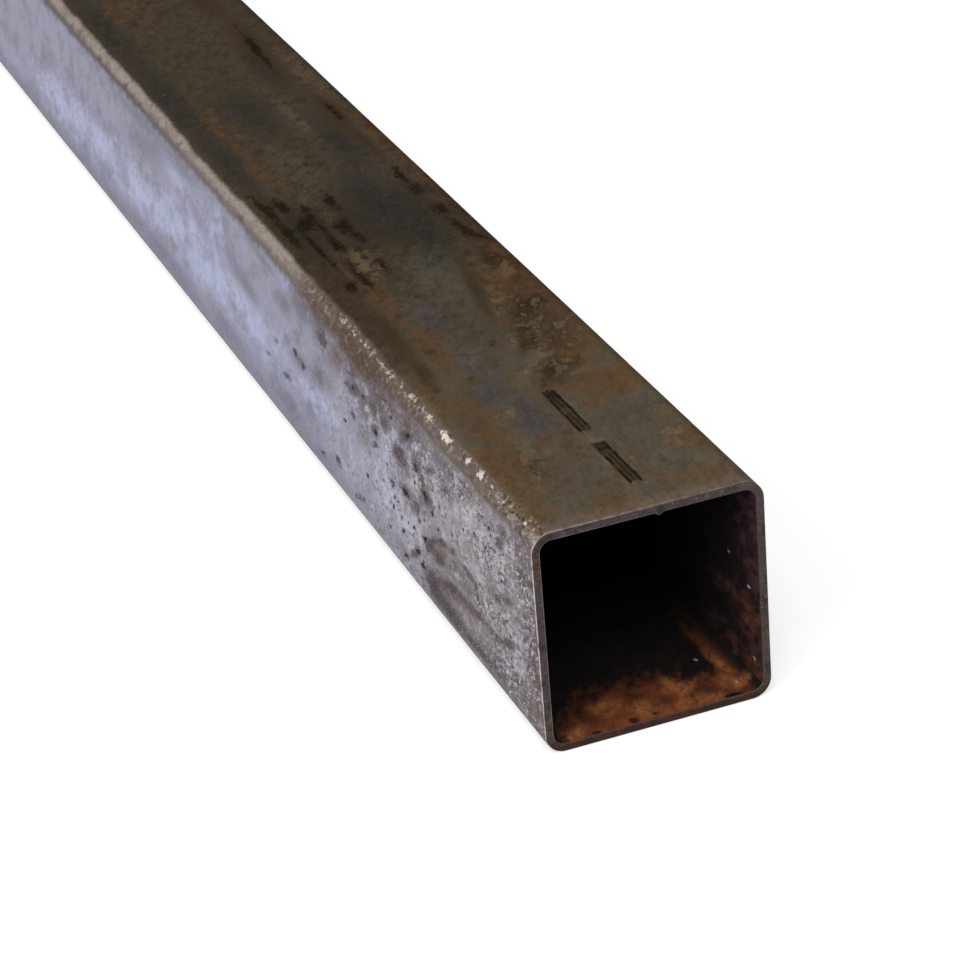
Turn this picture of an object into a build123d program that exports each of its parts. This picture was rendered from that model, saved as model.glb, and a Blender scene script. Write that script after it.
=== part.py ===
from build123d import *

import os

# A length of square hollow section: mild steel strip, rolled to a round, seam-welded
# and then squared between rolls. Millimetres. The tube lies level along X with +Z up,
# and its origin is on the floor, under the middle of its length.

# Driving dimensions
LENGTH = 1000.0  # as sawn
SIDE = 80.0  # across the flats
WALL = 3.0
INSIDE_RADIUS = 4.0  # inside corner, as the squaring rolls leave it
SEAM_OFFSET = 3.7  # weld seam from the middle of the top wall, towards +Y
BEAD_WIDTH = 3.0  # weld bead left inside, toe to toe
BEAD_HEIGHT = 0.85  # how far the bead hangs below the top wall
TOE_RADIUS = 0.4  # where the bead runs out into the wall
EDGE_BREAK = 0.3  # burr taken off the sawn edges

# Sizes that follow from them
BORE = SIDE - 2 * WALL
OUTSIDE_RADIUS = INSIDE_RADIUS + WALL  # the wall is as thick round the corner
MID_HEIGHT = SIDE / 2
CEILING = SIDE - WALL


with BuildPart() as square_tube:
    # The section stands square to the tube, at its -X end.
    with BuildSketch(Plane.YZ.offset(-LENGTH / 2)) as section:
        with Locations((0, MID_HEIGHT)):
            RectangleRounded(SIDE, SIDE, OUTSIDE_RADIUS)
            RectangleRounded(BORE, BORE, INSIDE_RADIUS, mode=Mode.SUBTRACT)

        # The seam's outside bead is planed off flush, and its inside bead stays.
        with BuildLine():
            left_toe = (SEAM_OFFSET - BEAD_WIDTH / 2, CEILING)
            right_toe = (SEAM_OFFSET + BEAD_WIDTH / 2, CEILING)
            ThreePointArc(left_toe, (SEAM_OFFSET, CEILING - BEAD_HEIGHT), right_toe)
            Line(right_toe, left_toe)
        make_face()
        bead_toes = section.vertices().sort_by_distance((SEAM_OFFSET, CEILING))[:2]
        fillet(bead_toes, TOE_RADIUS)
    extrude(amount=LENGTH)

    # Both ends are sawn square, and their edges are broken inside and outside.
    sawn_ends = square_tube.faces().filter_by(Axis.X)
    chamfer(sawn_ends.edges(), EDGE_BREAK)

square_tube.part.label = "square_tube"

os.makedirs("parts", exist_ok=True)
export_step(square_tube.part, "parts/square_tube.step")
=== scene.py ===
import math
from collections import namedtuple
from functools import reduce

import bmesh
import bpy
from mathutils import Matrix, Vector, noise


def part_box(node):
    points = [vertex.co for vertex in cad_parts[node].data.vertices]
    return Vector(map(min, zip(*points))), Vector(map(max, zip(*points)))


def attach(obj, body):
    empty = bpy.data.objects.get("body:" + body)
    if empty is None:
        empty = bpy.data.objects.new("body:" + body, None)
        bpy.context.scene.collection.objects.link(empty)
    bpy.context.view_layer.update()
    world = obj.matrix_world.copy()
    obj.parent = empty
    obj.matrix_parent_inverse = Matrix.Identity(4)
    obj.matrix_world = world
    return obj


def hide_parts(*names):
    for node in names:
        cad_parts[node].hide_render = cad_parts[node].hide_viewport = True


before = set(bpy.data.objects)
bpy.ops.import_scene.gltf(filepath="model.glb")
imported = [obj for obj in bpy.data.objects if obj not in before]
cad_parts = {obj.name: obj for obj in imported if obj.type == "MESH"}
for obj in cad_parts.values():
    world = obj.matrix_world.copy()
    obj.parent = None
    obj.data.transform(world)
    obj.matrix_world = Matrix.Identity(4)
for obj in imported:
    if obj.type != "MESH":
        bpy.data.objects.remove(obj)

bl_info = {
    "name": "Square Tube",
    "version": (1, 0, 0),
    "blender": (4, 5, 0),
    "location": "3D View > Sidebar > Square Tube",
    "description": "Dresses a length of square steel tube and sets a plain studio round it",
    "category": "Object",
}

NODE = "square_tube"
LOW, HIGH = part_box(NODE)
MM = 0.001


def display(red, green, blue):
    """A colour as a screen shows it, from 0 to 255, as the linear colour that a shader takes."""
    return tuple(
        c / 12.92 if c <= 0.04045 else ((c + 0.055) / 1.055) ** 2.4
        for c in (red / 255, green / 255, blue / 255)
    )


def once_each(items):
    """The items in their order, each of them once."""
    return list(dict.fromkeys(items))


# --- Settings that a user would change ---


def length_property(label, description, default):
    return bpy.props.FloatProperty(
        name=label, description=description, default=default, min=0.0, unit="LENGTH", precision=4
    )


def colour_property(label, description, *shown):
    return bpy.props.FloatVectorProperty(
        name=label,
        description=description,
        default=display(*shown),
        size=3,
        min=0.0,
        max=1.0,
        subtype="COLOR",
    )


def strength_property(label, description, default):
    return bpy.props.FloatProperty(name=label, description=description, default=default, min=0.0)


class TubeSizes(bpy.types.PropertyGroup):
    """Sizes of the tube, in metres."""

    length: length_property("Length", "Sawn length of the tube", (HIGH - LOW).x)
    side: length_property("Side", "Width and height across the flats", (HIGH - LOW).z)
    wall: length_property("Wall", "Wall thickness", 3.0 * MM)
    inside_radius: length_property("Inside Radius", "Radius of the inside corners", 4.0 * MM)
    seam_offset: length_property("Seam Offset", "Weld seam from the middle of the top wall", 3.7 * MM)
    bead_width: length_property("Bead Width", "Weld bead left inside, toe to toe", 3.0 * MM)
    bead_height: length_property("Bead Height", "How far the bead hangs below the top wall", 0.85 * MM)
    edge_break: length_property("Edge Break", "Burr taken off the sawn edges", 0.3 * MM)
    hollow: length_property("Hollow", "How far the flats fall away from true", 0.15 * MM)
    pit_depth: length_property("Pit Depth", "Depth of the large pits on the worn side", 0.3 * MM)
    dent_depth: length_property("Dent Depth", "Depth of the knocks along the rubbed corner", 0.35 * MM)


class TubeColours(bpy.types.PropertyGroup):
    """Colours of the steel, its scale and its rust, some of them partly painted light or shade."""

    scale_brown: colour_property("Brown Scale", "Mill scale on the top, near the mouth", 99, 82, 63)
    scale_olive: colour_property("Olive Scale", "Mill scale where it is greener", 90, 84, 70)
    scale_warm: colour_property("Warm Scale", "Mill scale with a little rust in it", 95, 75, 53)
    # Scale further along the tube: darker scale and partly painted shade that deepens away from the mouth.
    scale_far_shade: colour_property("Deep Scale", "Mill scale further along the tube", 70, 61, 50)
    scale_grey: colour_property("Grey Scale", "Grey bloom on the scale", 79, 74, 63)
    slate: colour_property("Slate Scale", "Darker, bluer bloom further along", 54, 52, 49)
    scale_dark: colour_property("Dark Scale", "Thicker, darker scale", 62, 49, 34)
    scab: colour_property("Scab", "Black scale that has lifted into scabs", 32, 27, 20)
    flake: colour_property("Flake", "Tan metal where a flake has come away", 106, 88, 67)
    rust: colour_property("Rust", "Thin rust on the outside", 90, 67, 45)
    ink: colour_property("Ink", "Roller-printed marks", 20, 23, 19)
    steel_near: colour_property("Worn Steel", "Worn side by the mouth", 148, 141, 145)
    steel_clear: colour_property("Clear Steel", "Cleanest specks of the worn side", 190, 184, 190)
    # The lavender further along is partly a painted reflection of cool light on the worn steel, and the
    # brightest streaks are painted highlights.
    steel_far: colour_property("Lavender Steel", "Worn side further along", 145, 144, 162)
    steel_highlight: colour_property("Bright Steel", "Brightest streaks of the worn side", 172, 175, 203)
    steel_dark: colour_property("Dull Steel", "Dull blotches on the worn side", 94, 87, 90)
    stain: colour_property("Stain", "Brown stains on the worn side", 96, 82, 74)
    pit: colour_property("Pit", "Bottoms of the pits", 44, 40, 48)
    # The crest of the corner: rubbed steel and partly a painted highlight, fullest on the corner that faces
    # the lamps.
    rubbed: colour_property("Rubbed Corner", "Corner rubbed down to the metal", 150, 140, 131)
    rubbed_near: colour_property("Dull Corner", "The rubbed corner by the mouth", 119, 104, 93)
    flank: colour_property("Brown Corner", "Browner flank below the rubbed corner", 112, 104, 101)
    # Flecks on the corner and swarf chips in the bore, partly painted glints.
    glinting_fleck: colour_property("Fleck", "Chalky flecks on the rubbed corner", 222, 212, 200)
    # The burr colour also paints highlights: on the broken edges of the lit side and on the crest by the
    # mouth.
    sawn: colour_property("Sawn Steel", "Oxidised face of the saw cut", 65, 55, 57)
    burr: colour_property("Burr", "Bright edge of the saw cut", 184, 172, 168)
    # The bore's near-black is dark scale and partly painted shade of the deep inside.
    bore: colour_property("Bore", "Blackened inside of the tube", 22, 18, 17)
    bore_rust: colour_property("Bore Rust", "Rust on the floor of the bore", 106, 58, 33)
    bore_bright: colour_property("Bright Rust", "Fresh rust by the mouth", 142, 90, 52)
    bore_maroon: colour_property("Old Rust", "Older, darker rust", 54, 27, 24)


class StudioSettings(bpy.types.PropertyGroup):
    """The camera, and how strongly the lamps and the surroundings light the tube."""

    camera_place: bpy.props.FloatVectorProperty(
        name="Camera Place",
        description="Where the camera stands",
        default=(1.32632, -0.34028, 0.55974),
        subtype="XYZ",
        unit="LENGTH",
    )
    camera_turn: bpy.props.FloatVectorProperty(
        name="Camera Turn",
        description="How the camera is turned",
        default=tuple(math.radians(a) for a in (62.3754, 4.3828, 68.6265)),
        subtype="EULER",
        unit="ROTATION",
    )
    lens: bpy.props.FloatProperty(
        name="Lens", description="Focal length on a 36 mm wide sensor", default=121.82, unit="CAMERA"
    )
    side_lamp: strength_property("Side Lamp", "Strength of the lamp on the worn side", 1.5)
    front_lamp: strength_property("Front Lamp", "Strength of the lamp above the mouth", 1.2)
    surround: strength_property("Surround", "Strength of the light from all round", 0.36)


# --- Shader helpers ---

# Which sockets a Mix node uses for each kind of value: share, under, over and result.
MIX_SOCKETS = {"FLOAT": (0, 2, 3, 0), "RGBA": (0, 6, 7, 2)}

# How the streaks in the finishes lie: level with the tube, or leaning across its faces.
LEVEL = (0, 0, 0)
LEAN = (0, math.radians(-24), math.radians(-24))

# Clouds of noise from the widest to the finest, which the coats of one finish share.
Clouds = namedtuple("Clouds", "broad patchy mottle speckle grain")


class Signal:
    """An output of a node, as a number or colour that varies over the surface.

    Arithmetic on it adds Math nodes. The numbers in the finishes are millimetres where they
    follow x, y, z or a turn round the section, and shares from 0 to 1 elsewhere.
    """

    def __init__(self, finish, socket):
        self.finish = finish
        self.socket = socket

    def __add__(self, other):
        return self.finish.math("ADD", self, other)

    def __sub__(self, other):
        return self.finish.math("SUBTRACT", self, other)

    def __rsub__(self, other):
        return self.finish.math("SUBTRACT", other, self)

    def __mul__(self, other):
        return self.finish.math("MULTIPLY", self, other)

    def __abs__(self):
        return self.finish.math("ABSOLUTE", self)

    def plus(self, other, times):
        """The sum of this and another number that is first multiplied."""
        return self.finish.math("MULTIPLY_ADD", other, times, self)

    def waver(self, reach):
        """A cloud of noise as a number that mostly stays between -reach and reach."""
        return self.finish.math("MULTIPLY_ADD", self, 4 * reach, -2 * reach)

    def ease(self, start, end, least=0.0, most=1.0):
        """Rises smoothly from least, where this is start, to most, where it is end."""
        node = self.finish.add("ShaderNodeMapRange", interpolation_type="SMOOTHSTEP")
        self.finish.feed(node.inputs["Value"], self)
        for name, setting in (("From Min", start), ("From Max", end), ("To Min", least), ("To Max", most)):
            node.inputs[name].default_value = setting
        return Signal(self.finish, node.outputs["Result"])

    def within(self, low, high, soft):
        """1 between low and high, fading to 0 over soft on either side."""
        return self.ease(low - soft, low + soft) * self.ease(high + soft, high - soft)

    def between(self, under, over):
        """The number under where this is 0, and over where it is 1."""
        return self.finish.mix(self, under, over, kind="FLOAT")


def either(*shares):
    """The largest of shares."""
    return reduce(lambda one, other: one.finish.math("MAXIMUM", one, other), shares)


class Finish:
    """The node tree of one finish. Each method adds a node or a few and hands back a signal.

    Patterns are laid out in millimetres: x along the tube from its +X mouth, so negative on
    the tube, y across it and z up from its underside.
    """

    ROW = 9

    def __init__(self, name, colours=None):
        self.colours = colours
        self.material = bpy.data.materials.new(name)
        self.material.use_nodes = True
        self.nodes = self.material.node_tree.nodes
        self.links = self.material.node_tree.links
        self.nodes.clear()
        self.shader = self.add("ShaderNodeBsdfPrincipled")
        output = self.add("ShaderNodeOutputMaterial")
        self.links.new(self.shader.outputs["BSDF"], output.inputs["Surface"])
        self.object = self.add("ShaderNodeTexCoord").outputs["Object"]
        self.clouds = Clouds(
            self.noise(50, detail=2.0, stretch=(2.2, 1, 1)),
            self.noise(12, detail=4.0, roughness=0.55, stretch=(2.0, 1, 1), lean=LEAN, shift=(2, 7, 1)),
            self.noise(4.2, detail=4.0, roughness=0.6, stretch=(2.0, 1, 1), lean=LEAN, shift=(6, 1, 2)),
            self.noise(1.6, detail=3.0, roughness=0.6, stretch=(2.0, 1, 1), lean=LEAN, shift=(1, 4, 9)),
            self.noise(0.7, detail=2.0, roughness=0.6, shift=(8, 2, 5)),
        )
        self.coarse_fray = self.clouds.mottle.waver(1.0)
        self.fine_fray = self.clouds.speckle.waver(1.0)

    def add(self, kind, **settings):
        node = self.nodes.new(kind)
        count = len(self.nodes)
        node.location = (180 * (count // self.ROW), -170 * (count % self.ROW))
        for name, value in settings.items():
            setattr(node, name, value)
        return node

    def feed(self, socket, value):
        """Links a signal to a socket, or sets it to a plain number or a colour by its name."""
        if isinstance(value, Signal):
            self.links.new(value.socket, socket)
        elif isinstance(value, str):
            socket.default_value = (*getattr(self.colours, value), 1)
        else:
            socket.default_value = value

    def place(self):
        """Millimetres from the mouth, across the tube and up from its underside."""
        node = self.add("ShaderNodeSeparateXYZ")
        self.links.new(self.object, node.inputs["Vector"])
        starts = (-HIGH.x / MM, 0, -LOW.z / MM)
        return tuple(
            self.math("MULTIPLY_ADD", Signal(self, socket), 1 / MM, start)
            for socket, start in zip(node.outputs, starts)
        )

    def pattern(self, kind, size, stretch, lean, shift):
        """A texture whose unit is size mm, drawn out by stretch along a lean."""
        cells = self.add("ShaderNodeMapping", vector_type="TEXTURE")
        self.links.new(self.object, cells.inputs["Vector"])
        cells.inputs["Location"].default_value = shift
        cells.inputs["Rotation"].default_value = lean
        cells.inputs["Scale"].default_value = tuple(size * s * MM for s in stretch)
        node = self.add(kind)
        self.links.new(cells.outputs["Vector"], node.inputs["Vector"])
        node.inputs["Scale"].default_value = 1.0
        return node

    def noise(self, size, detail, roughness=0.5, stretch=(1, 1, 1), lean=LEVEL, shift=(0, 0, 0)):
        """Cloudy noise from 0 to 1, in lumps about size mm across."""
        node = self.pattern("ShaderNodeTexNoise", size, stretch, lean, shift)
        node.inputs["Detail"].default_value = detail
        node.inputs["Roughness"].default_value = roughness
        return Signal(self, node.outputs["Fac"])

    def specks(self, spacing, radius, share, stretch=(1, 1, 1), lean=LEVEL):
        """Round specks: a share of the cells, spacing mm apart, hold one up to radius mm wide."""
        node = self.pattern("ShaderNodeTexVoronoi", spacing, stretch, lean, (0, 0, 0))
        draw = self.add("ShaderNodeSeparateColor")
        self.links.new(node.outputs["Color"], draw.inputs["Color"])
        size = radius / spacing
        reach = Signal(self, draw.outputs["Red"]).ease(share, 0.0, 0.0, size)
        inside = reach - Signal(self, node.outputs["Distance"])
        return inside.ease(0.0, 0.35 * size)

    def painted(self, name, soft=0.3, coarse=0.4, fine=0.2):
        """Where the patches of one kind are painted on the mesh, with soft frayed edges."""
        depth = Signal(self, self.add("ShaderNodeAttribute", attribute_name=name).outputs["Fac"])
        return depth.plus(self.coarse_fray, coarse).plus(self.fine_fray, fine).ease(-soft, soft)

    def math(self, operation, *values):
        node = self.add("ShaderNodeMath", operation=operation)
        for socket, value in zip(node.inputs, values):
            self.feed(socket, value)
        return Signal(self, node.outputs["Value"])

    def mix(self, share, under, over, kind="RGBA"):
        """A share of over mixed into under."""
        node = self.add("ShaderNodeMix", data_type=kind)
        *inputs, result = MIX_SOCKETS[kind]
        for index, value in zip(inputs, (share, under, over)):
            self.feed(node.inputs[index], value)
        return Signal(self, node.outputs[result])

    def wear(self, coat, specular):
        """Gives the shader a coat, and hands back the material."""
        bump = self.add("ShaderNodeBump")
        bump.inputs["Distance"].default_value = MM
        self.feed(bump.inputs["Height"], coat.height)
        self.feed(self.shader.inputs["Base Color"], coat.colour)
        self.feed(self.shader.inputs["Roughness"], coat.roughness)
        self.feed(self.shader.inputs["Metallic"], coat.metal)
        self.links.new(bump.outputs["Normal"], self.shader.inputs["Normal"])
        self.shader.inputs["Specular IOR Level"].default_value = specular
        return self.material


class Coat:
    """What a stretch of surface looks like, built up stain by stain. Height is in mm."""

    def __init__(self, finish, colour, roughness, metal=0.0):
        self.finish = finish
        self.colour = colour
        self.roughness = roughness
        self.metal = metal
        self.height = 0.0

    def blend(self, share, name, value, kind="FLOAT"):
        """Mixes a share of a value into one of the coat's own."""
        setattr(self, name, self.finish.mix(share, getattr(self, name), value, kind))

    def stain(self, share, colour, rise=None, **changes):
        """Changes a share of the coat; rise is how far the stain stands up."""
        self.blend(share, "colour", colour, kind="RGBA")
        for name, value in changes.items():
            self.blend(share, name, value)
        if rise is not None:
            self.height = self.finish.math("MULTIPLY_ADD", share, rise, self.height)

    def cover(self, share, over):
        """Lays another coat over a share of this one."""
        self.blend(share, "colour", over.colour, kind="RGBA")
        for name in ("roughness", "metal", "height"):
            self.blend(share, name, getattr(over, name))

    def toned(self, *tones):
        """This coat made lighter or darker by the sum of tones."""
        node = self.finish.add("ShaderNodeHueSaturation")
        self.finish.feed(node.inputs["Color"], self.colour)
        self.finish.feed(node.inputs["Value"], reduce(Signal.__add__, tones))
        self.colour = Signal(self.finish, node.outputs["Color"])
        return self


# --- Where the patches are ---

# An oval patch on one face of the tube, in millimetres: how far it is from the mouth, where
# it is across the face, its half length and half width, and its turn in degrees.
Spot = namedtuple("Spot", "x across long wide turn", defaults=(0.0,))

# Patches on the top: x from the mouth, then y across it.
ON_TOP = {
    "grey_bloom": (
        (-80, -6, 24, 7, 4), (-102, -14, 12, 8), (-30, -11, 18, 8), (-44, 10, 26, 5), (-62, 21, 14, 8),
        (-50, -4, 16, 4), (-124, -7, 14, 7, 10), (-160, -2, 40, 11, -3), (-186, 5, 26, 10),
        (-302, 1, 12, 5), (-326, -8, 26, 6), (-370, 10, 24, 4, 2), (-690, 4, 50, 9, 2),
        (-790, -12, 46, 8, -3), (-895, 10, 50, 10, 2),
    ),
    "green_bloom": ((-132, -9, 10, 5), (-200, 6, 22, 7), (-22, 18, 7, 8), (-380, 11, 24, 1.6, 2)),
    "blue_bloom": (
        (-100, -13, 12, 6), (-120, -10, 10, 4, 8), (-82, -7, 10, 4, -4), (-72, -9, 8, 5), (-171, -9, 14, 4),
    ),
    "slate_bloom": (
        (-215, 8, 10, 5, -10), (-244, 15, 30, 8, -4), (-268, 10, 30, 12, -4), (-292, 9, 20, 9),
        (-345, 18, 30, 6), (-395, -4, 26, 8), (-350, -29, 34, 5), (-430, -29, 60, 6), (-530, -29, 50, 6),
        (-262, -25, 20, 3), (-445, 18, 26, 5), (-720, -24, 50, 7, 2), (-830, 18, 44, 8, -2),
        (-940, -10, 40, 9),
    ),
    "scabs": (
        (-752, 26, 20, 2.4, -3), (-775, 20, 14, 3, 5), (-888, -15, 20, 2.4, 3), (-906, -22, 15, 3, -5),
        (-262, -9, 7, 3.2, -8), (-250, -8, 6, 2.4, 12), (-260, -17.4, 26, 1.5, -1),
        (-278, -17.6, 10, 2.2, -5), (-245, -17.8, 10, 1.8, 4), (-272, -21.5, 7, 2.4, -6),
        (-293, -24, 9, 2, 5), (-294, -30.4, 14, 1.7, 1), (-268, -30.2, 18, 1.8, 1), (-244, -25, 20, 1.2, 1),
        (-288, -5.6, 9, 2, -6), (-219, -10, 10, 2.4, -5), (-216, -19.2, 14, 1.9, 2), (-208, -25.5, 6, 2),
        (-281, 27.6, 5, 2.6, -12), (-297, 26.8, 11, 1.7, -3), (-258, 28.4, 6, 2.6, 4),
        (-238, 28.8, 12, 1.7), (-226, 32, 5, 2.8, 12), (-380, 27, 12, 1.6, -4), (-470, 22, 24, 1.6, -3),
    ),
    "dark_scale": (
        (-384, 27, 26, 4, -4), (-470, 22, 36, 5, -3), (-161, 27, 6, 4, -60), (-157, 21, 8, 3.2, -20),
        (-143, 16, 9, 2.4, -16), (-131, 12, 9, 3.2, -26), (-104, 10.5, 10, 4.2, -28), (-97, 5, 6, 1.6, -28),
        (-109, 21, 3, 3), (-136, 1.5, 3, 1.4, -20), (-141, -19.5, 3, 1.6), (-114, -15, 3, 1.2, -20),
        (-126, -28, 18, 2.6, -3), (-160, -27, 18, 3, -2), (-204, 28, 5, 3, -20), (-181, 13, 20, 2.2, -10),
        (-342, 27, 20, 2, 2), (-560, 20, 40, 5, 3), (-738, 8, 40, 4, 3), (-860, -27, 46, 4, -2),
    ),
    "flakes": (
        (-274, -11, 7, 2, -16), (-292, -15.5, 6, 2.2, -8), (-218, -14.6, 16, 1.6, -3),
        (-232, -15, 8, 2.2, -6), (-123, 15.5, 6, 1.5, -18), (-137, 19, 9, 1.6, -12),
        (-159, 14, 8, 1.2, -18), (-178, 17.5, 5, 1.4, -14), (-110, 4, 4, 1.2, -28), (-132, 8, 6, 1.4, -20),
        (-50.5, 4.2, 1.2, 2.2), (-57, 9.8, 2.4, 0.9), (-31, 8.2, 7, 0.8, -5), (-30, 0.6, 8, 0.6, -4),
        (-42, 28, 7, 3), (-170, 15.4, 4, 0.9, -12), (-145, 19.4, 4, 0.9, -6), (-111, 19, 3, 1.6, 30),
        (-43, -17, 4, 1.6, -20), (-40, -20, 3, 1.4, -10), (-83, -13, 5, 1.4, -16),
        (-81, -17.5, 4, 1.2, -20), (-420, 31, 34, 4), (-768, 29, 15, 2, 5), (-897, -10, 15, 2, -6),
    ),
    "flaky": (
        (-137, 21, 28, 10, -12), (-108, 14, 10, 8, -20), (-160, 24, 14, 8, -30), (-224, -14, 16, 6, -4),
        (-205, 30, 16, 5), (-45, -19, 12, 5, -10),
    ),
    "top_rust": (
        (-78, -25, 22, 7), (-50, -26, 22, 6), (-22, -29, 16, 4), (-330, -19, 16, 4), (-42, 28, 8, 5, -20),
        (-12, 17, 5, 9), (-94, 20, 12, 13), (-126, 24, 26, 10), (-150, 18, 26, 7, -8),
        (-178, 20, 24, 6, -6), (-140, -19, 22, 4, -4), (-204, -19, 22, 4, -2), (-180, 33, 60, 4, 1),
        (-320, 34, 60, 4, 1), (-386, -20, 20, 4, 4), (-552, -14, 26, 7, -6), (-680, 31, 46, 5),
        (-742, 12, 30, 8, -4), (-820, -20, 36, 7, 3), (-885, 31, 50, 5), (-965, 18, 26, 9, 4),
    ),
    "red_spots": (
        (-357, 34, 10, 3), (-212, 35, 12, 4), (-230, 37, 12, 2), (-188, 31, 16, 4, -3),
        (-170, 27, 9, 4, -8), (-40, 29, 4, 2), (-758, 33, 24, 4), (-972, -28, 18, 5),
    ),
}

# Patches on the worn side: x from the mouth, then z up it.
ON_WORN_SIDE = {
    "brown_stains": (
        (-160, 72, 20, 8, -4), (-170, 66, 10, 5, 14), (-200, 73, 26, 4), (-138, 69, 20, 5, 6),
        (-112, 69, 14, 4, 8), (-146, 61, 10, 3.4, 16), (-125, 53, 7, 3.4, 20), (-115, 64, 8, 3, 20),
        (-186, 66, 9, 4.5, 20), (-92, 28.5, 7, 3.5, 16), (-88, 19, 14, 3.4, 12), (-92, 12, 12, 4),
        (-66, 22, 20, 2.4, 4), (-14, 12, 5, 4), (-11, 70, 4, 5),
    ),
    "soft_shadows": (
        (-40, 11, 26, 6), (-82, 10, 30, 7), (-99, 14, 7, 6), (-75, 31, 18, 5), (-96, 29, 7, 4),
        (-75, 70, 24, 4), (-162, 44, 10, 6, 20), (-192, 60, 12, 5, 10), (-205, 66, 12, 6),
        (-228, 68, 12, 6), (-210, 46, 12, 4, 10), (-132, 67, 20, 4, 6), (-101, 51, 6, 8),
        (-236, 42, 9, 3, 10), (-250, 60, 10, 4, 8), (-300, 48, 14, 4, -6), (-324, 30, 5, 3),
        (-316, 52, 7, 6, 20), (-364, 53, 9, 5), (-332, 13, 30, 6), (-262, 14, 24, 5), (-384, 70, 26, 6),
        (-430, 70, 60, 4), (-430, 60, 34, 6, 8), (-275, 70, 18, 2, -3), (-440, 12, 50, 5),
    ),
    "dark_mottles": (
        (-99, 29, 8, 1.5, 46), (-86, 36, 9, 1.5, 14), (-76, 38, 5, 1.6, 10), (-63, 36.5, 9, 1.4, -4),
        (-54, 31, 6, 1.4, -62), (-90, 27.5, 4, 2, 20), (-80, 21.5, 12, 1.6, 10), (-80, 10, 10, 3),
        (-168, 58.8, 6, 2.4, 10), (-174, 46, 3.4, 2, 24), (-152, 43.8, 4, 1.2, 24), (-60, 24, 16, 1.6, 1),
        (-38, 24, 9, 1.6, 3), (-27, 27.5, 7, 1.6, 24), (-62, 9.5, 26, 1.8), (-99, 13, 8, 5),
        (-20, 17, 6, 1.4, 20), (-98, 47.5, 4.5, 2.8, 10), (-78, 60, 4, 1.6, 20), (-92, 61, 6, 1.4, 24),
        (-35, 41, 6, 2, 10), (-26, 44, 5, 1.6, 20), (-24, 69.5, 3.2, 2.6, 30), (-29, 64, 4, 1.6, 24),
        (-11, 60, 3, 3, -20), (-203, 64, 6, 3.4, 14), (-173, 57.5, 7, 2.4, 12), (-160, 59.5, 4, 1.6, 20),
        (-149, 50.5, 4, 2.4, 22), (-137, 59, 5, 2.6, 22), (-148, 60.5, 4, 1.4, 16), (-126, 53, 5, 2.2, 24),
        (-121, 51, 4, 1.8, 20), (-121, 40, 6, 2.6, 4), (-111, 38.5, 4.5, 2.2, 20), (-115, 64, 7, 1.8, 24),
        (-106, 57, 4, 2.6, 24), (-103, 28, 4, 2.6, 30), (-118, 16.5, 9, 1.5, 30), (-174, 12, 6, 1.3, 16),
    ),
    "mottled": (
        (-158, 57, 18, 8, 6), (-138, 60, 16, 6, 8), (-122, 55, 14, 10, 14), (-106, 52, 9, 13),
        (-116, 38, 10, 4, 14),
    ),
    "bright_streaks": (
        (-137, 30, 28, 9, 6), (-140, 47, 11, 5, 24), (-136, 49, 8, 5, 24), (-118, 25, 12, 7, 14),
        (-158, 30, 20, 6, 10), (-212, 33, 22, 4, 4), (-75, 53, 18, 9, 10), (-52, 42, 8, 5, 10),
        (-40, 58, 14, 8, 10), (-20, 32, 5, 6, 20), (-19, 71, 5.5, 7, 30), (-66, 57, 16, 6, 10),
        (-56, 74, 8, 2), (-239, 71, 8, 2.4, 10), (-300, 32, 30, 9, 2), (-343, 50, 14, 5, 72),
        (-331, 55, 12, 4, 76), (-350, 33, 52, 9, 2), (-370, 48, 16, 7, 14), (-410, 36, 46, 8, 4),
        (-390, 62, 26, 4, 4), (-458, 30, 44, 9), (-510, 31, 40, 7, 2), (-580, 28, 44, 8, 4),
    ),
    "ticks": (
        (-34, 57, 20, 11, 14), (-60, 68, 18, 6, 8), (-40, 34, 15, 6, 10), (-28, 16, 22, 8), (-8, 45, 8, 32),
        (-78, 62, 12, 5, 10), (-100, 64, 10, 5, 16),
    ),
    "crowded_pits": ((-42, 58, 26, 13), (-30, 34, 24, 8), (-95, 48, 22, 10), (-130, 34, 26, 14, 20)),
    "large_pits": (
        (-135.5, 36, 2.4, 1.4, 26), (-199, 16, 2.6, 1.5, 22), (-171, 58, 1.2, 0.8, 20),
        (-174, 46, 1.3, 0.8, 24), (-149, 50, 1.8, 1, 20), (-164, 26, 1.6, 0.9, 28),
        (-131, 31, 1.4, 0.6, 24), (-136.7, 27, 1.4, 0.7, 24), (-143, 15.4, 1.6, 0.6, 26),
        (-128, 11.2, 2, 0.7, 30), (-113.9, 19.3, 1.6, 0.8, 26), (-115.6, 28.2, 1.6, 0.7, 26),
        (-104.4, 28.8, 2, 0.8, 30), (-185, 39.3, 2, 0.6, 16), (-160, 59.5, 2, 0.7, 20),
        (-130, 64.3, 1.8, 0.6, 26), (-113, 65, 2.2, 0.7, 26), (-108, 55, 1.5, 1.1, 20),
        (-100, 48, 2, 1.4, 10), (-86, 50, 1.2, 0.8, 10), (-76, 44.6, 1.3, 1, 20), (-52.5, 56, 1.1, 0.8, 20),
        (-89.4, 40, 1.3, 0.6, 20), (-129, 26, 1.7, 0.9, 24), (-110, 16, 2.4, 1.1, 32),
        (-122, 39, 2.8, 1.3, 8), (-109, 34, 1.4, 0.9, 20), (-241, 43, 2.6, 1.5, 14),
        (-232, 41, 2.4, 1.5, 14), (-266, 38, 2.8, 0.9, 18), (-256, 27, 3, 1.4, 14),
        (-279, 27, 2.8, 0.9, 18), (-218, 11, 2.6, 1, 26), (-94, 43.8, 1.3, 0.9, 20),
        (-128, 21, 1.9, 0.9, 26),
    ),
}
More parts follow.
